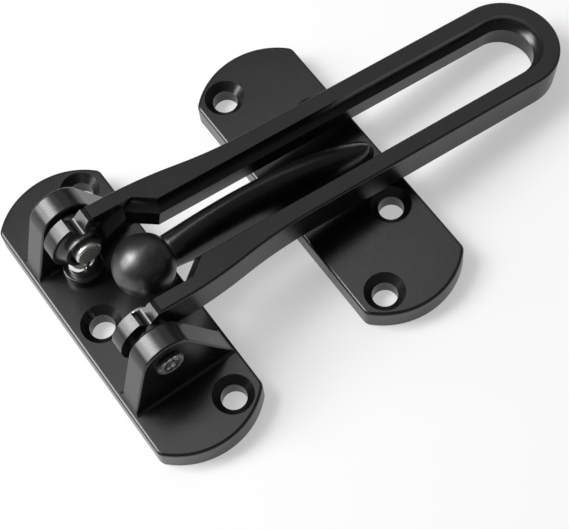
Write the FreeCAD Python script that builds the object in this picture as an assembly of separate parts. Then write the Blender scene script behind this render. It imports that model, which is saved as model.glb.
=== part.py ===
import FreeCAD, Part
import math
import os

os.makedirs("parts", exist_ok=True)

# Swing bar door guard in millimetres.  The origin is the middle of the base plate's back face;
# +Z points away from the mounting surface, +X from the hinge towards the catch, Y along the hinge.

# Both mounting plates: straight long sides, bowed ends, softly rounded rims.
plate_length = 75.2
plate_width = 26.0
plate_thickness = 5.4
plate_end_bow = 5.9
plate_corner_radius = 2.2
plate_rim_round = 0.65
catch_plate_x = 52.2

# Countersunk screw holes of both plates.
screw_hole_radius = 2.8
countersink_radius = 4.5
countersink_depth = 1.7
hole_side_offset = 6.7
end_hole_inset = 7.6
catch_inner_hole_spacing = 28.5

# Hinge axis, pins and their fits.
pin_axis_x = -1.7
pin_axis_z = 19.4
pin_radius = 2.5
pin_head_radius = 2.9
pin_head_height = 2.2
pin_head_round = 0.5
peened_end_radius = 3.15
peened_end_height = 1.05
peened_dimple_radius = 1.3
peened_dimple_depth = 0.4
running_clearance = 0.05

# Ears that carry the pins.
ear_inner_y = 16.4
ear_thickness = 5.5
ear_top_radius = 6.1
ear_foot_back_x = -12.0
ear_foot_front_x = 12.4
ear_foot_round = 0.8
ear_rim_round = 0.5

# Spring-loaded detents under the two knuckles.
detent_x = -2.6
detent_y = 13.0
detent_boss_radius = 4.5
detent_boss_height = 2.6
detent_boss_round = 0.4
plunger_radius = 3.3
plunger_length = 8.6
plunger_bore_radius = 2.4
plunger_crown = 2.7
detent_floor = 1.3
barrel_gap = 0.1
spring_mean_radius = 1.8
spring_wire_radius = 0.3
spring_turns = 5.0

# Swing bar, measured in its own frame: origin on the pin axis, x along the arms, h above the axis.
bar_rest_droop = 8.4
bar_top = 6.6
bar_bottom = -1.55
bar_half_width = 12.0
bar_flare_half_width = 14.8
bar_flare_start_x = 7.0
bar_flare_end_x = 42.0
bar_flare_quarter_share = 0.125
bar_arm_end_x = 3.2
bar_loop_center_x = 103.5
bar_edge_round = 0.5
slot_half_width = 6.5
slot_draft = 0.5
slot_slant_x = 16.4
slot_slant_angle = 37.0
slot_wide_half_width = 11.4
cove_lower_h = 3.4
cove_width = 1.7
cove_bulge = 0.55

# Knuckles at the hinge end of the bar.
barrel_radius = 6.75
notch_angles = (90, 270)
notch_floor_radius = 4.35
notch_half_angle = 42.0
notch_round = 0.9
notch_inner_y = 10.2
left_boss_inner_y = 9.3
right_boss_inner_y = 10.8
boss_face_radius = 4.7
boss_root_radius = 6.45
boss_flank_hollow = 0.28
boss_recess_radius = 3.9
boss_recess_depth = 0.8
tongue_end_x = 9.8
tongue_low_x = 4.4
tongue_low_h = -0.3
tongue_flank = 1.6
hub_radius = 4.3
hub_gap = 0.1

# Ball and horn of the catch.
ball_radius = 6.8
ball_ahead_of_axis = 8.0
ball_below_axis = 1.9
horn_crest_height = 15.9
horn_crest_x = 22.0
horn_tip_from_center = 11.1
horn_tip_rise = 1.5
horn_leaf_length = 18.2
horn_leaf_power = 0.8
horn_leaf_last_angle = 86.0
horn_half_width = 4.6
horn_neck_half_width = 3.7
horn_start_x = 7.0
horn_neck_x = 12.0
horn_neck_depth = 7.7
horn_belly_power = 1.5
horn_root_depth = 3.4
horn_foot_flare = 0.9
horn_foot_height = 1.4
horn_section_points = 16
horn_sections = 7

OVERCUT = 1.0
SAME = 1e-4
Y_AXIS = FreeCAD.Vector(0, 1, 0)
Z_AXIS = FreeCAD.Vector(0, 0, 1)


def vec(x, y, z):
    return FreeCAD.Vector(x, y, z)


def line(a, b):
    return Part.LineSegment(a, b).toShape()


def arc(a, b, c):
    return Part.Arc(a, b, c).toShape()


def face_of(edges):
    return Part.Face(Part.Wire(edges))


def mirrored(shape):
    # Copy on the other side of the middle plane y = 0.
    return shape.mirror(vec(0, 0, 0), Y_AXIS)


def fuse_all(shapes):
    return shapes[0].multiFuse(shapes[1:]).removeSplitter()


def round_edges(shape, radius, wanted):
    edges = [edge for edge in shape.Edges if wanted(edge)]
    return shape.makeFillet(radius, edges)


def lies_at_z(edge, z):
    box = edge.BoundBox
    return abs(box.ZMin - z) < SAME and abs(box.ZMax - z) < SAME


def tangent_point(px, pz, cx, cz, radius, side):
    # Touch point on a circle of the line drawn to it from (px, pz).
    away = math.hypot(px - cx, pz - cz)
    turn = math.acos(radius / away)
    heading = math.atan2(pz - cz, px - cx) + side * turn
    return cx + radius * math.cos(heading), cz + radius * math.sin(heading)


def bowed_plate(center_x):
    half_w = plate_width / 2
    half_l = plate_length / 2
    side_l = half_l - plate_end_bow
    corners = [
        vec(center_x - half_w, -side_l, 0),
        vec(center_x + half_w, -side_l, 0),
        vec(center_x + half_w, side_l, 0),
        vec(center_x - half_w, side_l, 0),
    ]
    outline = face_of([
        arc(corners[0], vec(center_x, -half_l, 0), corners[1]),
        line(corners[1], corners[2]),
        arc(corners[2], vec(center_x, half_l, 0), corners[3]),
        line(corners[3], corners[0]),
    ])
    slab = outline.extrude(vec(0, 0, plate_thickness))
    slab = round_edges(slab, plate_corner_radius, lambda edge: edge.BoundBox.ZLength > OVERCUT)
    return round_edges(slab, plate_rim_round, lambda edge: lies_at_z(edge, plate_thickness))


def screw_hole(x, y):
    shank = Part.makeCylinder(screw_hole_radius, plate_thickness + 2 * OVERCUT, vec(x, y, -OVERCUT))
    growth = (countersink_radius - screw_hole_radius) / countersink_depth
    sink = Part.makeCone(
        screw_hole_radius,
        countersink_radius + growth * OVERCUT,
        countersink_depth + OVERCUT,
        vec(x, y, plate_thickness - countersink_depth),
    )
    return shank.fuse(sink)


def ear_outline(y):
    # Upright cheek: round top about the pin axis, two leaning sides down to the plate.
    top_z = plate_thickness
    root_z = plate_thickness / 2
    back = tangent_point(ear_foot_back_x, top_z, pin_axis_x, pin_axis_z, ear_top_radius, -1)
    front = tangent_point(ear_foot_front_x, top_z, pin_axis_x, pin_axis_z, ear_top_radius, 1)
    points = [
        vec(ear_foot_back_x, y, root_z),
        vec(ear_foot_back_x, y, top_z),
        vec(back[0], y, back[1]),
        vec(front[0], y, front[1]),
        vec(ear_foot_front_x, y, top_z),
        vec(ear_foot_front_x, y, root_z),
    ]
    crown = vec(pin_axis_x, y, pin_axis_z + ear_top_radius)
    return face_of([
        line(points[0], points[1]),
        line(points[1], points[2]),
        arc(points[2], crown, points[3]),
        line(points[3], points[4]),
        line(points[4], points[5]),
        line(points[5], points[0]),
    ])


def ear():
    outer_y = ear_inner_y + ear_thickness
    cheek = ear_outline(ear_inner_y).extrude(vec(0, ear_thickness, 0))
    above = plate_thickness + OVERCUT

    def on_rim(edge):
        box = edge.BoundBox
        return box.ZMax > above and box.YLength < OVERCUT

    cheek = round_edges(cheek, ear_rim_round, on_rim)
    # Hollow rounding where the two broad faces meet the plate.
    reach = ear_foot_front_x - ear_foot_back_x + 2 * OVERCUT
    foot = ear_outline(ear_inner_y - ear_foot_round).extrude(vec(0, ear_thickness + 2 * ear_foot_round, 0))
    band = Part.makeBox(
        reach,
        ear_thickness + 2 * ear_foot_round,
        ear_foot_round + plate_thickness / 2,
        vec(ear_foot_back_x - OVERCUT, ear_inner_y - ear_foot_round, plate_thickness / 2),
    )
    foot = foot.common(band)
    x_axis = vec(1, 0, 0)
    for y in (ear_inner_y - ear_foot_round, outer_y + ear_foot_round):
        start = vec(ear_foot_back_x - OVERCUT, y, plate_thickness + ear_foot_round)
        foot = foot.cut(Part.makeCylinder(ear_foot_round, reach, start, x_axis))
    return cheek.fuse(foot)


def ear_bore():
    return Part.makeCylinder(
        pin_radius + running_clearance / 2,
        ear_thickness + 2 * OVERCUT,
        vec(pin_axis_x, ear_inner_y - OVERCUT, pin_axis_z),
        Y_AXIS,
    )


def detent_boss():
    root = plate_thickness / 2
    top = plate_thickness + detent_boss_height
    post = Part.makeCylinder(detent_boss_radius, top - root, vec(detent_x, detent_y, root))
    return round_edges(post, detent_boss_round, lambda edge: lies_at_z(edge, top))


def detent_bore():
    reach = plate_thickness + detent_boss_height + OVERCUT - detent_floor
    start = vec(detent_x, detent_y, detent_floor)
    return Part.makeCylinder(plunger_radius + running_clearance, reach, start)


def base_plate():
    body = bowed_plate(0)
    body = fuse_all([body, ear(), mirrored(ear()), detent_boss(), mirrored(detent_boss())])
    end_hole_y = plate_length / 2 - end_hole_inset
    tools = [
        screw_hole(hole_side_offset, end_hole_y),
        screw_hole(hole_side_offset, -end_hole_y),
        screw_hole(-hole_side_offset, 0),
        ear_bore(),
        mirrored(ear_bore()),
        detent_bore(),
        mirrored(detent_bore()),
    ]
    return body.cut(tools)


def pivot_pin(boss_y):
    # Shank along y from the head inside the knuckle's boss to the peened end outside the ear.
    head_seat = boss_y + boss_recess_depth - running_clearance
    head_face = head_seat - pin_head_height
    seat = ear_inner_y + ear_thickness
    end = seat + peened_end_height

    def on_axis(y):
        return vec(pin_axis_x, y, pin_axis_z)

    head = Part.makeCylinder(pin_head_radius, pin_head_height, on_axis(head_face), Y_AXIS)
    head = round_edges(head, pin_head_round, lambda edge: edge.BoundBox.YMax < head_face + SAME)
    shank = Part.makeCylinder(pin_radius, end - head_seat, on_axis(head_seat), Y_AXIS)
    rivet = Part.makeCylinder(peened_end_radius, peened_end_height, on_axis(seat), Y_AXIS)
    rivet = round_edges(rivet, peened_end_height / 2, lambda edge: edge.BoundBox.YMin > end - SAME)
    dimple = Part.makeCone(
        0,
        peened_dimple_radius,
        peened_dimple_depth,
        on_axis(end - peened_dimple_depth),
        Y_AXIS,
    )
    return fuse_all([head, shank, rivet]).cut(dimple)


def plunger_top_z():
    return pin_axis_z - barrel_radius - barrel_gap


def detent_plunger():
    # Bullet-shaped cup: round nose, straight skirt, hollow from below for the spring.
    top = plunger_top_z()
    nose_z = top - plunger_radius
    bottom = top - plunger_length
    ceiling = top - plunger_crown
    skirt = Part.makeCylinder(plunger_radius, nose_z - bottom, vec(detent_x, detent_y, bottom))
    nose = Part.makeSphere(plunger_radius, vec(detent_x, detent_y, nose_z))
    hollow = Part.makeCylinder(plunger_bore_radius, ceiling - bottom, vec(detent_x, detent_y, bottom))
    dome_radius = (plunger_radius + plunger_bore_radius) / 2
    ball_room = Part.makeSphere(dome_radius, vec(detent_x, detent_y, nose_z))
    return fuse_all([skirt, nose]).cut(hollow.common(fuse_all([skirt, ball_room])))


def detent_spring():
    # Plain helix between the floor of the blind bore and the ceiling inside the plunger.
    low = detent_floor + spring_wire_radius
    high = plunger_top_z() - plunger_crown - spring_wire_radius
    rise = high - low
    path = Part.makeHelix(rise / spring_turns, rise, spring_mean_radius)
    wire_circle = Part.Wire(Part.makeCircle(spring_wire_radius, vec(spring_mean_radius, 0, 0), Y_AXIS))
    coil = Part.Wire(path).makePipeShell([wire_circle], True, True)
    coil.translate(vec(detent_x, detent_y, low))
    return coil


def bar_outline_edges(h):
    # Outer edge of the bar seen from above: flared hinge ends running into a narrow loop.
    flare_mid_x = (bar_flare_start_x + bar_flare_end_x) / 2
    flare_mid_y = (bar_flare_half_width + bar_half_width) / 2
    drop = bar_flare_quarter_share * (bar_flare_half_width - bar_half_width)
    quarter = (bar_flare_end_x - bar_flare_start_x) / 4
    edges = []
    for side in (1, -1):
        wide = side * bar_flare_half_width
        narrow = side * bar_half_width
        mid = vec(flare_mid_x, side * flare_mid_y, h)
        start = vec(bar_flare_start_x, wide, h)
        finish = vec(bar_flare_end_x, narrow, h)
        first = vec(bar_flare_start_x + quarter, wide - side * drop, h)
        second = vec(bar_flare_end_x - quarter, narrow + side * drop, h)
        edges += [
            line(vec(bar_arm_end_x, wide, h), start),
            arc(start, first, mid),
            arc(mid, second, finish),
            line(finish, vec(bar_loop_center_x, narrow, h)),
        ]
    edges.append(arc(
        vec(bar_loop_center_x, bar_half_width, h),
        vec(bar_loop_center_x + bar_half_width, 0, h),
        vec(bar_loop_center_x, -bar_half_width, h),
    ))
    edges.append(line(
        vec(bar_arm_end_x, bar_flare_half_width, h),
        vec(bar_arm_end_x, -bar_flare_half_width, h),
    ))
    return Part.__sortEdges__(edges)


def bar_blank():
    blank = face_of(bar_outline_edges(bar_bottom)).extrude(vec(0, 0, bar_top - bar_bottom))

    def on_outer_rim(edge):
        flat = lies_at_z(edge, bar_top) or lies_at_z(edge, bar_bottom)
        return flat and edge.BoundBox.XLength > running_clearance

    return round_edges(blank, bar_edge_round, on_outer_rim)


def slot_wire(half_width, h):
    # Inner edge of the bar: narrow between the arms, wide at the hinge end.
    slope = math.tan(math.radians(slot_slant_angle))
    narrow_x = slot_slant_x
    wide_x = narrow_x - (slot_wide_half_width - half_width) / slope
    open_x = -2 * barrel_radius
    return Part.Wire([
        line(vec(open_x, slot_wide_half_width, h), vec(wide_x, slot_wide_half_width, h)),
        line(vec(wide_x, slot_wide_half_width, h), vec(narrow_x, half_width, h)),
        line(vec(narrow_x, half_width, h), vec(bar_loop_center_x, half_width, h)),
        arc(
            vec(bar_loop_center_x, half_width, h),
            vec(bar_loop_center_x + half_width, 0, h),
            vec(bar_loop_center_x, -half_width, h),
        ),
        line(vec(bar_loop_center_x, -half_width, h), vec(narrow_x, -half_width, h)),
        line(vec(narrow_x, -half_width, h), vec(wide_x, -slot_wide_half_width, h)),
        line(vec(wide_x, -slot_wide_half_width, h), vec(open_x, -slot_wide_half_width, h)),
        line(vec(open_x, -slot_wide_half_width, h), vec(open_x, slot_wide_half_width, h)),
    ])


def slot_tool():
    bottom_wire = slot_wire(slot_half_width + slot_draft, bar_bottom)
    upper_wire = slot_wire(slot_half_width, cove_lower_h)
    lower = Part.makeLoft([bottom_wire, upper_wire], True, True)
    below = Part.Face(bottom_wire).extrude(vec(0, 0, -OVERCUT))
    above = Part.Face(upper_wire).extrude(vec(0, 0, bar_top - cove_lower_h + OVERCUT))
    return fuse_all([lower, below, above])


def cove_face():
    # Section of the hollow along the inner top edge; x is the distance from the lip, z the height.
    run = cove_width
    rise = bar_top - cove_lower_h
    chord = math.hypot(run, rise)
    mid = vec(run / 2 + cove_bulge * rise / chord, 0, cove_lower_h + rise / 2 - cove_bulge * run / chord)
    low = vec(0, 0, cove_lower_h)
    high = vec(run, 0, bar_top)
    roof = bar_top + OVERCUT
    return face_of([
        arc(low, mid, high),
        line(high, vec(run, 0, roof)),
        line(vec(run, 0, roof), vec(-OVERCUT, 0, roof)),
        line(vec(-OVERCUT, 0, roof), vec(-OVERCUT, 0, cove_lower_h)),
        line(vec(-OVERCUT, 0, cove_lower_h), low),
    ])


def cove_along(start, heading, length):
    # Straight run of the hollow; the metal lies on the left of the heading.
    section = cove_face()
    section.rotate(vec(0, 0, 0), Z_AXIS, heading + 90)
    section.translate(start)
    direction = math.radians(heading)
    return section.extrude(vec(length * math.cos(direction), length * math.sin(direction), 0))


def cove_tool():
    straight = cove_along(
        vec(slot_slant_x - cove_width, slot_half_width, 0),
        0,
        bar_loop_center_x - slot_slant_x + cove_width,
    )
    heading = 180 - slot_slant_angle
    back = math.radians(heading)
    slant = cove_along(
        vec(slot_slant_x - cove_width * math.cos(back), slot_half_width - cove_width * math.sin(back), 0),
        heading - 180,
        -slot_slant_x,
    )
    room = Part.makeBox(bar_loop_center_x, slot_wide_half_width, 2 * bar_top, vec(0, 0, 0))
    slant = slant.common(room)
    round_end = cove_face()
    round_end.translate(vec(slot_half_width, 0, 0))
    round_end = round_end.revolve(vec(0, 0, 0), Z_AXIS, 180)
    round_end.rotate(vec(0, 0, 0), Z_AXIS, -90)
    round_end.translate(vec(bar_loop_center_x, 0, 0))
    return [straight, mirrored(straight), slant, mirrored(slant), round_end]


def notch_tool(angle):
    # Rounded V across the knuckle, opening outward at the given angle from the arm; the longer
    # left boss stays whole at its inner end.
    half = math.radians(notch_half_angle)
    apex = notch_floor_radius + notch_round - notch_round / math.sin(half)
    reach = barrel_radius + OVERCUT
    touch_r = apex + notch_round / math.tan(half) * math.cos(half)
    touch_w = notch_round * math.cos(half)
    spread = (reach - apex) * math.tan(half)
    low_y = notch_inner_y
    high_y = bar_flare_half_width + OVERCUT
    outline = face_of([
        line(vec(reach, low_y, -spread), vec(touch_r, low_y, -touch_w)),
        arc(vec(touch_r, low_y, -touch_w), vec(notch_floor_radius, low_y, 0), vec(touch_r, low_y, touch_w)),
        line(vec(touch_r, low_y, touch_w), vec(reach, low_y, spread)),
        line(vec(reach, low_y, spread), vec(reach, low_y, -spread)),
    ])
    tool = outline.extrude(vec(0, high_y - low_y, 0))
    tool.rotate(vec(0, 0, 0), Y_AXIS, -angle)
    return tool


def boss_revolve(face_y):
    # Inner boss: its flank is a hollow curve from the barrel down to the flat face.
    root_y = slot_wide_half_width
    run = root_y - face_y
    rise = boss_root_radius - boss_face_radius
    mid = vec(boss_face_radius + rise * boss_flank_hollow, root_y - run * boss_flank_hollow, 0)
    root_depth = root_y + run / 2
    outline = face_of([
        line(vec(0, face_y, 0), vec(boss_face_radius, face_y, 0)),
        arc(vec(boss_face_radius, face_y, 0), mid, vec(boss_root_radius, root_y, 0)),
        line(vec(boss_root_radius, root_y, 0), vec(boss_root_radius, root_depth, 0)),
        line(vec(boss_root_radius, root_depth, 0), vec(0, root_depth, 0)),
        line(vec(0, root_depth, 0), vec(0, face_y, 0)),
    ])
    return outline.revolve(vec(0, 0, 0), Y_AXIS, 360)


def tongue(boss_y):
    # Web from the boss along the inner side of the arm; its upper edge climbs to the lip of the slot.
    def outline(y, grow):
        end_x = tongue_end_x + grow / 2
        points = [
            vec(0, y, bar_bottom),
            vec(end_x, y, bar_bottom),
            vec(end_x, y, cove_lower_h + grow),
            vec(tongue_low_x - grow / 2, y, tongue_low_h + grow),
            vec(0, y, tongue_low_h + grow),
        ]
        return Part.Wire([line(points[i - 1], points[i]) for i in range(len(points))])

    run = slot_wide_half_width - boss_y
    web = Part.makeLoft([outline(boss_y, 0), outline(slot_wide_half_width, tongue_flank)], True, True)
    root = Part.Face(outline(slot_wide_half_width, tongue_flank)).extrude(vec(0, run / 2, 0))
    return web.fuse(root)


def knuckle(boss_y):
    low_y = slot_wide_half_width
    barrel = Part.makeCylinder(barrel_radius, bar_flare_half_width - low_y, vec(0, low_y, 0), Y_AXIS)
    barrel = barrel.fuse(boss_revolve(boss_y))
    barrel = barrel.cut([notch_tool(angle) for angle in notch_angles])
    hub_end = ear_inner_y - hub_gap
    hub = Part.makeCylinder(hub_radius, hub_end - low_y, vec(0, low_y, 0), Y_AXIS)
    return [barrel, hub, tongue(boss_y)]


def knuckle_bore(boss_y):
    bore = Part.makeCylinder(
        pin_radius + running_clearance,
        ear_inner_y,
        vec(0, boss_y - OVERCUT, 0),
        Y_AXIS,
    )
    recess = Part.makeCylinder(
        boss_recess_radius,
        boss_recess_depth + OVERCUT,
        vec(0, boss_y - OVERCUT, 0),
        Y_AXIS,
    )
    return bore.fuse(recess)


def swing_bar():
    arms = bar_blank().cut([slot_tool()] + cove_tool())
    left = knuckle(left_boss_inner_y)
    right = [mirrored(piece) for piece in knuckle(right_boss_inner_y)]
    bar = fuse_all([arms] + left + right)
    bar = bar.cut([knuckle_bore(left_boss_inner_y), mirrored(knuckle_bore(right_boss_inner_y))])
    bar.rotate(vec(0, 0, 0), Y_AXIS, bar_rest_droop)
    bar.translate(vec(pin_axis_x, 0, pin_axis_z))
    return bar


def horn_section(x, top, level, bottom, half_width):
    # Closed smooth section across the horn, widest at the given level.
    points = []
    for step in range(horn_section_points):
        turn = 2 * math.pi * step / horn_section_points
        height = top - level if math.sin(turn) > 0 else level - bottom
        points.append(vec(x, half_width * math.cos(turn), level + height * math.sin(turn)))
    shares = [step / horn_section_points for step in range(horn_section_points + 1)]
    curve = Part.BSplineCurve()
    curve.interpolate(Points=points, PeriodicFlag=True, Parameters=shares)
    return Part.Wire(curve.toShape())


def horn_crest_z(x):
    tip_x = catch_plate_x + horn_tip_from_center
    fall = (horn_crest_height - horn_tip_rise) / (tip_x - horn_crest_x) ** 2
    return plate_thickness + horn_crest_height - fall * (x - horn_crest_x) ** 2


def horn():
    # The horn arches from the neck behind the ball to a leaf-shaped tip on the plate.
    widest_x = catch_plate_x + horn_tip_from_center - horn_leaf_length
    root_z = plate_thickness - horn_root_depth
    neck_top = horn_crest_z(horn_neck_x)
    neck_bottom = neck_top - horn_neck_depth
    neck_level = (neck_top + neck_bottom) / 2
    sections = []
    for step in range(horn_sections):
        x = horn_start_x + (widest_x - horn_start_x) * step / horn_sections
        share = min(1, (widest_x - x) / (widest_x - horn_neck_x))
        level = plate_thickness + (neck_level - plate_thickness) * share
        bottom = root_z + (neck_bottom - root_z) * share ** horn_belly_power
        half_width = horn_half_width + (horn_neck_half_width - horn_half_width) * share
        sections.append(horn_section(x, horn_crest_z(x), level, bottom, half_width))
    for step in range(horn_sections + 1):
        turn = math.radians(horn_leaf_last_angle * step / horn_sections)
        x = widest_x + horn_leaf_length * math.sin(turn)
        half_width = horn_half_width * math.cos(turn) ** horn_leaf_power
        sections.append(horn_section(x, horn_crest_z(x), plate_thickness, root_z, half_width))
    return Part.makeLoft(sections, True, False)


def leaf_wire(z, grow):
    # Outline of the horn's leaf seen from above, grown all round and closed behind its widest place.
    widest_x = catch_plate_x + horn_tip_from_center - horn_leaf_length
    count = 2 * horn_sections
    points = []
    for step in range(count + 1):
        turn = math.pi * step / count
        across = math.copysign(abs(math.cos(turn)) ** horn_leaf_power, math.cos(turn))
        x = widest_x + (horn_leaf_length + grow) * math.sin(turn)
        points.append(vec(x, (horn_half_width + grow) * across, z))
    shares = [step / count for step in range(count + 1)]
    curve = Part.BSplineCurve()
    curve.interpolate(Points=points, Parameters=shares)
    return Part.Wire([curve.toShape(), line(points[-1], points[0])])


def horn_foot():
    # Sloping foot round the leaf, from the plate up into the flank.
    low = leaf_wire(plate_thickness, horn_foot_flare)
    high = leaf_wire(plate_thickness + horn_foot_height, -horn_foot_flare)
    root = Part.Face(low).extrude(vec(0, 0, -plate_thickness / 2))
    return Part.makeLoft([low, high], True, True).fuse(root)


def catch_plate():
    ball = Part.makeSphere(
        ball_radius,
        vec(pin_axis_x + ball_ahead_of_axis, 0, pin_axis_z - ball_below_axis),
    )
    body = fuse_all([bowed_plate(catch_plate_x), horn_foot(), horn(), ball])
    outer = plate_length / 2 - end_hole_inset
    inner = catch_inner_hole_spacing / 2
    tools = []
    for side in (1, -1):
        tools.append(screw_hole(catch_plate_x - hole_side_offset, side * outer))
        tools.append(screw_hole(catch_plate_x + hole_side_offset, side * inner))
    return body.cut(tools)


def export(name, shape):
    shape.exportStep("parts/" + name + ".step")
    print(name, shape.isValid(), len(shape.Solids), round(shape.Volume, 1))


def main():
    plunger = detent_plunger()
    spring = detent_spring()
    export("base_plate", base_plate())
    export("swing_bar", swing_bar())
    export("left_pivot_pin", pivot_pin(left_boss_inner_y))
    export("right_pivot_pin", mirrored(pivot_pin(right_boss_inner_y)))
    export("left_detent_plunger", plunger)
    export("right_detent_plunger", mirrored(plunger))
    export("left_detent_spring", spring)
    export("right_detent_spring", mirrored(spring))
    export("catch_plate", catch_plate())


main()
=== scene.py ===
"""Looks for a swing bar door guard.

Castings in satin black coat, turned steel pins with riveted ends, polished detent plungers and
their springs, on a pale floor in soft studio light. Lengths are in metres, except where a name
ends in _mm or _MM. Colours are linear.
"""

import math

import bmesh
import bpy
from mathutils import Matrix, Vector


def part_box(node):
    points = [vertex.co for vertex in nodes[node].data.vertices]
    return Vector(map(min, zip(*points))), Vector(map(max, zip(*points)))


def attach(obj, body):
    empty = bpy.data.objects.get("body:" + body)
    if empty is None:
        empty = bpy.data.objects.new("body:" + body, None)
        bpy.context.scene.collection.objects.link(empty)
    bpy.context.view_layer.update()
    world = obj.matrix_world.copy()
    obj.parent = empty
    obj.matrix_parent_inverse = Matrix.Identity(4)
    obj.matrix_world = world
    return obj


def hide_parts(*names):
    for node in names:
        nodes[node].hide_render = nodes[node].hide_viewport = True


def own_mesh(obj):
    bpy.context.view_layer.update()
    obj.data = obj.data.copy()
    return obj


MM = 0.001

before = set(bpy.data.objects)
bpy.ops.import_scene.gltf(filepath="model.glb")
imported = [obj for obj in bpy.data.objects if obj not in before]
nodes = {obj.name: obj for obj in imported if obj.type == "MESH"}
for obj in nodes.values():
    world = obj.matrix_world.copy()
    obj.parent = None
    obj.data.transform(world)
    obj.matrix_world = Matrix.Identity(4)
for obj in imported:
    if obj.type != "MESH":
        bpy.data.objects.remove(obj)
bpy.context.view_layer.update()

# Colours.
COAT_COLOUR = (0.0042, 0.0042, 0.0044)
COAT_DUST = (0.0075, 0.0075, 0.0077)
STEEL_COLOUR = (0.80, 0.79, 0.77)
STEEL_DULL = (0.62, 0.61, 0.59)
STEEL_DARK = (0.20, 0.19, 0.18)
RIVET_DARK = (0.060, 0.057, 0.053)
SPRING_COLOUR = (0.42, 0.41, 0.40)
SPRING_DARK = (0.25, 0.24, 0.23)
FLOOR_COLOUR = (0.90, 0.90, 0.90)

# Share of plain white in the floor, as the camera and the reflections see it.
FLOOR_GLOW = 0.45

# Most of a noise's values lie between these two.
NOISE_LOW = 0.3
NOISE_HIGH = 0.7

# Coat: the strength of its reflections, and its roughness from smooth to dull patches. The flecks
# add to that roughness.
COAT_SHEEN = 0.6
COAT_ROUGHNESS = (0.25, 0.30)
FLECK_ROUGHNESS = (-0.02, 0.03)

# The catch's ball, which the bar rubs, and what that adds to the coat's roughness and sheen.
BALL_CENTRE = (6.3 * MM, 0.0, 17.5 * MM)
BALL_RADIUS = 6.8 * MM
BALL_EDGE = 1.1 * BALL_RADIUS
RUBBED_ROUGHNESS = (0.04, 0.12)
RUBBED_SHEEN = (0.9, 0.3)

# Pins: their axis, and the rings and finer marks of the lathe.
PIN_AXIS = (-1.7 * MM, 0.0, 19.4 * MM)
PIN_METAL = 0.9
PIN_ROUGHNESS = (0.34, 0.44)
RING_STEP = 0.75 * MM
RING_GROOVE = (0.05 * MM, 0.10 * MM)
RING_DARKNESS = 0.7
TURNING_STEP = 0.22 * MM

# The pins' riveted ends: how far from the middle plane they start, how much of a flank's normal
# lies along the axis from full painted shade in the coat's black to bare steel, where the two
# painted highlight rings lie, and how uneven and broken those are.
RIVET_START = 21.8 * MM
RIVET_FLANK = (0.45, 0.75)
INNER_RING_MM = (0.5, 1.2)
OUTER_RING_MM = (1.9, 2.8)
RING_EDGE_MM = 0.15
RING_WOBBLE = 0.45 * MM
HAMMER_MARKS = (0.44, 0.58)

PLUNGER_ROUGHNESS = (0.10, 0.20)
SPRING_ROUGHNESS = (0.3, 0.45)

# Detent springs: wire and turns as in the CAD, and the mesh.
SPRING_WIRE_RADIUS = 0.3 * MM
SPRING_TURNS = 5
STEPS_PER_TURN = 28
WIRE_SIDES = 10

# Floor: half its side, its middle's x, and how far it lies below the plates.
FLOOR_HALF = 1.5
FLOOR_MIDDLE_X = 0.05
FLOOR_DROP = 0.0002

# Lamps stand on a dome round the object. Each has an azimuth (0 on the -Y side, 90 on the +X
# side), an elevation and a width, all as angles in degrees, and a radiance.
LAMP_DISTANCE = 1.1
LAMP_TARGET = (0.03, 0.0, 0.01)
LAMPS = {
    "key_low": (243, 23, 20, 8.0),
    "key": (232, 47, 27, 13.0),
    "key_high": (212, 61, 14, 7.0),
    "side": (260, 60, 16, 1.5),
    "dome": (190, 69, 14, 1.2),
    "top": (151, 66, 16, 1.9),
    "fill": (122, 42, 30, 0.45),
}
SKY_STRENGTH = 0.12

# Camera at the photograph's viewing angle.
CAMERA_PLACE = (-0.0409745, -0.1550013, 0.3293564)
CAMERA_TURN = (0.455190, 0.069713, -0.614943)
CAMERA_LENS_MM = 107.447
CAMERA_SENSOR_MM = 36.0
CAMERA_CLIP = (0.01, 10.0)


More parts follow.
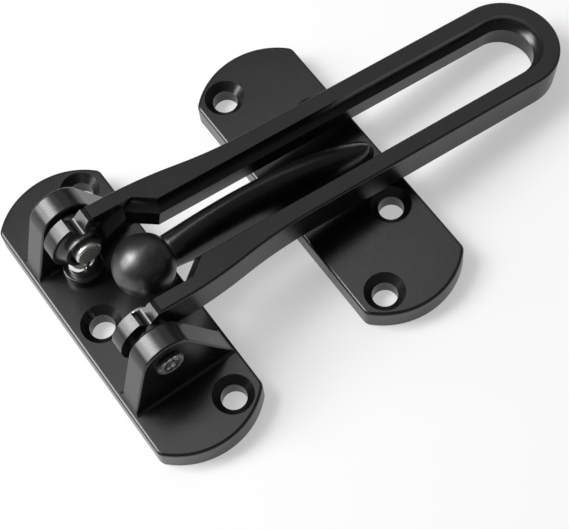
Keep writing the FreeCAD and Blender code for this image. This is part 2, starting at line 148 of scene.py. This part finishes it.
class Tree:
    """One material's nodes, with short calls that add and link them."""

    def __init__(self, name):
        self.material = bpy.data.materials.new(name)
        self.material.use_nodes = True
        self.tree = self.material.node_tree
        self.tree.nodes.clear()

    def add(self, kind, **settings):
        node = self.tree.nodes.new(kind)
        for key, value in settings.items():
            setattr(node, key, value)
        return node

    def link(self, source, target):
        self.tree.links.new(source, target)

    def place(self):
        return self.add("ShaderNodeTexCoord").outputs["Object"]

    def noise(self, vector, size_mm, detail=3.0, roughness=0.5):
        node = self.add("ShaderNodeTexNoise")
        node.inputs["Scale"].default_value = 1 / (size_mm * MM)
        node.inputs["Detail"].default_value = detail
        node.inputs["Roughness"].default_value = roughness
        self.link(vector, node.inputs["Vector"])
        return node.outputs["Fac"]

    def spread(self, value, low, high, to_low, to_high):
        """The value, with low to high stretched to the new limits and held there."""
        node = self.add("ShaderNodeMapRange")
        node.inputs["From Min"].default_value = low
        node.inputs["From Max"].default_value = high
        node.inputs["To Min"].default_value = to_low
        node.inputs["To Max"].default_value = to_high
        self.link(value, node.inputs["Value"])
        return node.outputs["Result"]

    def vary(self, noise, to_low, to_high):
        """A value that goes from one limit to the other with the noise."""
        return self.spread(noise, NOISE_LOW, NOISE_HIGH, to_low, to_high)

    def mix(self, share, one, two):
        """Colour one where the share is 0 and colour two where it is 1."""
        node = self.add("ShaderNodeMix", data_type="RGBA")
        self.link(share, node.inputs["Factor"])
        for socket, colour in ((node.inputs["A"], one), (node.inputs["B"], two)):
            if isinstance(colour, tuple):
                socket.default_value = (*colour, 1)
            else:
                self.link(colour, socket)
        return node.outputs["Result"]

    def math(self, operation, one, two):
        node = self.add("ShaderNodeMath", operation=operation)
        for socket, value in zip(node.inputs, (one, two)):
            if isinstance(value, (int, float)):
                socket.default_value = value
            else:
                self.link(value, socket)
        return node.outputs["Value"]

    def distance(self, place, centre, axes=(1, 1, 1)):
        """Distance of each point from a centre, counted only along the axes marked 1."""
        shift = self.add("ShaderNodeVectorMath", operation="SUBTRACT")
        self.link(place, shift.inputs[0])
        shift.inputs[1].default_value = centre
        flat = self.add("ShaderNodeVectorMath", operation="MULTIPLY")
        self.link(shift.outputs["Vector"], flat.inputs[0])
        flat.inputs[1].default_value = axes
        length = self.add("ShaderNodeVectorMath", operation="LENGTH")
        self.link(flat.outputs["Vector"], length.inputs[0])
        return length.outputs["Value"]

    def band(self, value, inner_mm, outer_mm):
        """1 between two lengths and 0 outside them, with soft edges."""
        inner_edge = ((inner_mm - RING_EDGE_MM) * MM, (inner_mm + RING_EDGE_MM) * MM)
        outer_edge = ((outer_mm - RING_EDGE_MM) * MM, (outer_mm + RING_EDGE_MM) * MM)
        rise = self.spread(value, *inner_edge, 0.0, 1.0)
        fall = self.spread(value, *outer_edge, 1.0, 0.0)
        return self.math("MULTIPLY", rise, fall)

    def bump(self, height, strength, distance_mm, normal=None):
        node = self.add("ShaderNodeBump")
        node.inputs["Strength"].default_value = strength
        node.inputs["Distance"].default_value = distance_mm * MM
        self.link(height, node.inputs["Height"])
        if normal is not None:
            self.link(normal, node.inputs["Normal"])
        return node.outputs["Normal"]

    def shader(self, **sockets):
        node = self.add("ShaderNodeBsdfPrincipled")
        for key, value in sockets.items():
            node.inputs[key].default_value = value
        output = self.add("ShaderNodeOutputMaterial")
        self.link(node.outputs["BSDF"], output.inputs["Surface"])
        return node


def coat_material():
    """Satin black powder coat with fine orange peel and uneven gloss.

    The ball is burnished and mottled by the bar: rougher there, and with more sheen.
    """
    t = Tree("black_coat_look")
    place = t.place()
    cloud = t.noise(place, size_mm=9.0)
    grain = t.noise(place, size_mm=0.55, detail=2.0)
    fleck = t.noise(place, size_mm=0.16, detail=2.0)
    mottle = t.noise(place, size_mm=1.6, roughness=0.6)
    ball = t.spread(t.distance(place, BALL_CENTRE), BALL_RADIUS, BALL_EDGE, 1.0, 0.0)
    shader = t.shader()

    dusty = t.spread(cloud, 0.35, NOISE_HIGH, 0.0, 1.0)
    t.link(t.mix(dusty, COAT_COLOUR, COAT_DUST), shader.inputs["Base Color"])

    gloss = t.math("ADD", t.vary(cloud, *COAT_ROUGHNESS), t.vary(fleck, *FLECK_ROUGHNESS))
    rubbed = t.math("MULTIPLY", ball, t.vary(mottle, *RUBBED_ROUGHNESS))
    t.link(t.math("ADD", gloss, rubbed), shader.inputs["Roughness"])

    sheen = t.math("MULTIPLY", ball, t.vary(mottle, *RUBBED_SHEEN))
    t.link(t.math("ADD", sheen, COAT_SHEEN), shader.inputs["Specular IOR Level"])

    normal = t.bump(grain, strength=0.18, distance_mm=0.03)
    normal = t.bump(fleck, strength=0.12, distance_mm=0.01, normal=normal)
    t.link(normal, shader.inputs["Normal"])
    return t.material


def pin_material():
    """Turned steel pins with tool rings on their heads.

    The riveted ends are hammered and darker, with painted highlight rings and painted shade on
    the flanks.
    """
    t = Tree("pin_steel_look")
    place = t.place()
    radius = t.distance(place, PIN_AXIS, axes=(1, 0, 1))
    across = t.distance(place, (0, 0, 0), axes=(0, 1, 0))
    outer_end = t.math("GREATER_THAN", across, RIVET_START)
    cloud = t.noise(place, size_mm=1.4)

    # Tool marks.
    turned = t.add("ShaderNodeTexNoise", noise_dimensions="1D")
    turned.inputs["Scale"].default_value = 1 / TURNING_STEP
    t.link(radius, turned.inputs["W"])
    from_ring = t.math("PINGPONG", radius, RING_STEP / 2)
    ring = t.spread(from_ring, *RING_GROOVE, 1.0, 0.0)

    # Painted shade in the coat's black on the riveted ends' flanks, which don't face along the
    # axis.
    facing = t.add("ShaderNodeNewGeometry")
    split = t.add("ShaderNodeSeparateXYZ")
    t.link(facing.outputs["True Normal"], split.inputs["Vector"])
    along_axis = t.math("ABSOLUTE", split.outputs["Y"], 0)
    flank = t.spread(along_axis, *RIVET_FLANK, 1.0, 0.0)
    painted_shade_flank = t.math("MULTIPLY", flank, outer_end)

    # Painted highlights on the riveted ends: two uneven, broken rings keep the lighter steel
    # colour.
    blows = t.noise(place, size_mm=0.45, roughness=0.7)
    hammered = t.spread(blows, *HAMMER_MARKS, 0.0, 1.0)
    wobble = t.vary(t.noise(place, size_mm=1.1, detail=2.0), -RING_WOBBLE, RING_WOBBLE)
    wobbly_radius = t.math("ADD", radius, wobble)
    rings = t.math("MAXIMUM", t.band(wobbly_radius, *INNER_RING_MM), t.band(wobbly_radius, *OUTER_RING_MM))
    painted_highlight_rings = t.math("MULTIPLY", rings, hammered)
    dulled = t.math("MULTIPLY", outer_end, t.math("SUBTRACT", 1.0, painted_highlight_rings))

    shader = t.shader()
    steel = t.mix(t.spread(cloud, NOISE_LOW, 0.75, 0.0, 1.0), STEEL_COLOUR, STEEL_DULL)
    steel = t.mix(t.math("MULTIPLY", ring, RING_DARKNESS), steel, STEEL_DARK)
    # The riveted end faces are darker, except on the painted highlight rings.
    steel = t.mix(dulled, steel, RIVET_DARK)
    # Painted shade on the flanks of the riveted ends: the coat's black, with less metal.
    t.link(t.mix(painted_shade_flank, steel, COAT_COLOUR), shader.inputs["Base Color"])
    lost_metal = t.math("MULTIPLY", painted_shade_flank, PIN_METAL)
    t.link(t.math("SUBTRACT", PIN_METAL, lost_metal), shader.inputs["Metallic"])
    t.link(t.vary(cloud, *PIN_ROUGHNESS), shader.inputs["Roughness"])

    normal = t.bump(turned.outputs["Fac"], strength=0.25, distance_mm=0.02)
    normal = t.bump(ring, strength=0.4, distance_mm=-0.03, normal=normal)
    dents = t.math("MULTIPLY", hammered, outer_end)
    normal = t.bump(dents, strength=0.5, distance_mm=0.05, normal=normal)
    t.link(normal, shader.inputs["Normal"])
    return t.material


def plunger_material():
    """Hard polished steel of the detent plungers, with faint rubbing marks."""
    t = Tree("plunger_steel_look")
    rub = t.noise(t.place(), size_mm=0.5, detail=4.0)
    shader = t.shader(Metallic=1.0)
    dulled = t.spread(rub, NOISE_LOW, 0.75, 0.0, 0.7)
    t.link(t.mix(dulled, STEEL_COLOUR, STEEL_DULL), shader.inputs["Base Color"])
    t.link(t.vary(rub, *PLUNGER_ROUGHNESS), shader.inputs["Roughness"])
    t.link(t.bump(rub, strength=0.08, distance_mm=0.01), shader.inputs["Normal"])
    return t.material


def spring_material():
    """Drawn spring wire: darker steel with fine streaks."""
    t = Tree("spring_steel_look")
    streak = t.noise(t.place(), size_mm=0.25, detail=4.0)
    shader = t.shader(Metallic=1.0)
    colour = t.mix(t.vary(streak, 0.0, 1.0), SPRING_COLOUR, SPRING_DARK)
    t.link(colour, shader.inputs["Base Color"])
    t.link(t.vary(streak, *SPRING_ROUGHNESS), shader.inputs["Roughness"])
    t.link(t.bump(streak, strength=0.2, distance_mm=0.01), shader.inputs["Normal"])
    return t.material


def floor_material():
    """Pale floor that shows near white to the camera and in reflections, and keeps the shadow."""
    t = Tree("floor_look")
    diffuse = t.add("ShaderNodeBsdfDiffuse")
    diffuse.inputs["Color"].default_value = (*FLOOR_COLOUR, 1)
    glow = t.add("ShaderNodeEmission")
    path = t.add("ShaderNodeLightPath")
    seen = t.math("MAXIMUM", path.outputs["Is Camera Ray"], path.outputs["Is Glossy Ray"])
    seen = t.math("MAXIMUM", seen, path.outputs["Is Transmission Ray"])
    both = t.add("ShaderNodeMixShader")
    t.link(t.math("MULTIPLY", seen, FLOOR_GLOW), both.inputs["Fac"])
    t.link(diffuse.outputs["BSDF"], both.inputs[1])
    t.link(glow.outputs["Emission"], both.inputs[2])
    output = t.add("ShaderNodeOutputMaterial")
    t.link(both.outputs["Shader"], output.inputs["Surface"])
    return t.material


LOOKS = {
    "coat": coat_material(),
    "pin": pin_material(),
    "plunger": plunger_material(),
    "spring": spring_material(),
}


def look_of(name):
    if "spring" in name:
        return LOOKS["spring"]
    if "plunger" in name:
        return LOOKS["plunger"]
    if "pin" in name:
        return LOOKS["pin"]
    return LOOKS["coat"]


for name, node in nodes.items():
    for slot in node.material_slots:
        slot.material = look_of(name)


def coil_mesh(name, low, high, hand):
    """A coil of round wire that fills the box from low to high; hand is 1 or -1."""
    centre = (low + high) / 2
    mean_radius = (high.x - low.x) / 2 - SPRING_WIRE_RADIUS
    rise = high.z - low.z - 2 * SPRING_WIRE_RADIUS
    steps = SPRING_TURNS * STEPS_PER_TURN
    points = []
    for step in range(steps + 1):
        turn = math.tau * step / STEPS_PER_TURN
        outward = Vector((math.cos(turn), hand * math.sin(turn), 0))
        height = low.z + SPRING_WIRE_RADIUS + rise * step / steps
        middle = Vector((centre.x, centre.y, height)) + outward * mean_radius
        for corner in range(WIRE_SIDES):
            angle = math.tau * corner / WIRE_SIDES
            section = outward * math.cos(angle) + Vector((0, 0, math.sin(angle)))
            points.append(middle + section * SPRING_WIRE_RADIUS)

    last = steps * WIRE_SIDES
    faces = [tuple(range(WIRE_SIDES)), tuple(range(last, last + WIRE_SIDES))]
    for step in range(steps):
        for corner in range(WIRE_SIDES):
            a = step * WIRE_SIDES + corner
            b = step * WIRE_SIDES + (corner + 1) % WIRE_SIDES
            faces.append((a, b, b + WIRE_SIDES, a + WIRE_SIDES))

    mesh = bpy.data.meshes.new(name)
    mesh.from_pydata(points, [], faces)
    shape = bmesh.new()
    shape.from_mesh(mesh)
    bmesh.ops.recalc_face_normals(shape, faces=shape.faces)
    for face in shape.faces:
        face.smooth = len(face.verts) == 4
    shape.to_mesh(mesh)
    shape.free()
    mesh.materials.append(LOOKS["spring"])
    return mesh


def coil_spring(side, hand):
    """One detent spring where the CAD has it."""
    node = f"{side}_detent_spring"
    low, high = (Vector(corner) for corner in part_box(node))
    name = f"{side}_coil_spring"
    piece = bpy.data.objects.new(name, coil_mesh(name, low, high, hand))
    bpy.context.scene.collection.objects.link(piece)
    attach(piece, "mounting")
    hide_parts(node)
    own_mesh(piece)


coil_spring("left", 1)
coil_spring("right", -1)

# Floor.
bpy.ops.mesh.primitive_plane_add(size=2 * FLOOR_HALF, location=(FLOOR_MIDDLE_X, 0, -FLOOR_DROP))
floor = bpy.context.object
floor.name = "floor"
floor.data.materials.append(floor_material())


def lamp(name, azimuth, elevation, spread, radiance):
    """A soft square light on the dome, turned to the target."""
    width = 2 * LAMP_DISTANCE * math.tan(math.radians(spread / 2))
    data = bpy.data.lights.new(name, "AREA")
    data.shape = "SQUARE"
    data.size = width
    data.energy = radiance * math.pi * width ** 2
    light = bpy.data.objects.new(name, data)
    bpy.context.scene.collection.objects.link(light)
    a, e = math.radians(azimuth), math.radians(elevation)
    away = Vector((math.sin(a) * math.cos(e), -math.cos(a) * math.cos(e), math.sin(e)))
    light.location = Vector(LAMP_TARGET) + away * LAMP_DISTANCE
    light.rotation_euler = away.to_track_quat("Z", "Y").to_euler()


for name, facts in LAMPS.items():
    lamp(name, *facts)

world = bpy.data.worlds.new("studio")
world.use_nodes = True
background = world.node_tree.nodes["Background"]
background.inputs["Color"].default_value = (1, 1, 1, 1)
background.inputs["Strength"].default_value = SKY_STRENGTH
bpy.context.scene.world = world
bpy.context.scene.view_settings.view_transform = "Standard"

# Camera.
camera_data = bpy.data.cameras.new("camera")
camera_data.sensor_fit = "HORIZONTAL"
camera_data.sensor_width = CAMERA_SENSOR_MM
camera_data.lens = CAMERA_LENS_MM
camera_data.clip_start, camera_data.clip_end = CAMERA_CLIP
camera = bpy.data.objects.new("camera", camera_data)
bpy.context.scene.collection.objects.link(camera)
camera.location = CAMERA_PLACE
camera.rotation_euler = CAMERA_TURN
bpy.context.scene.camera = camera
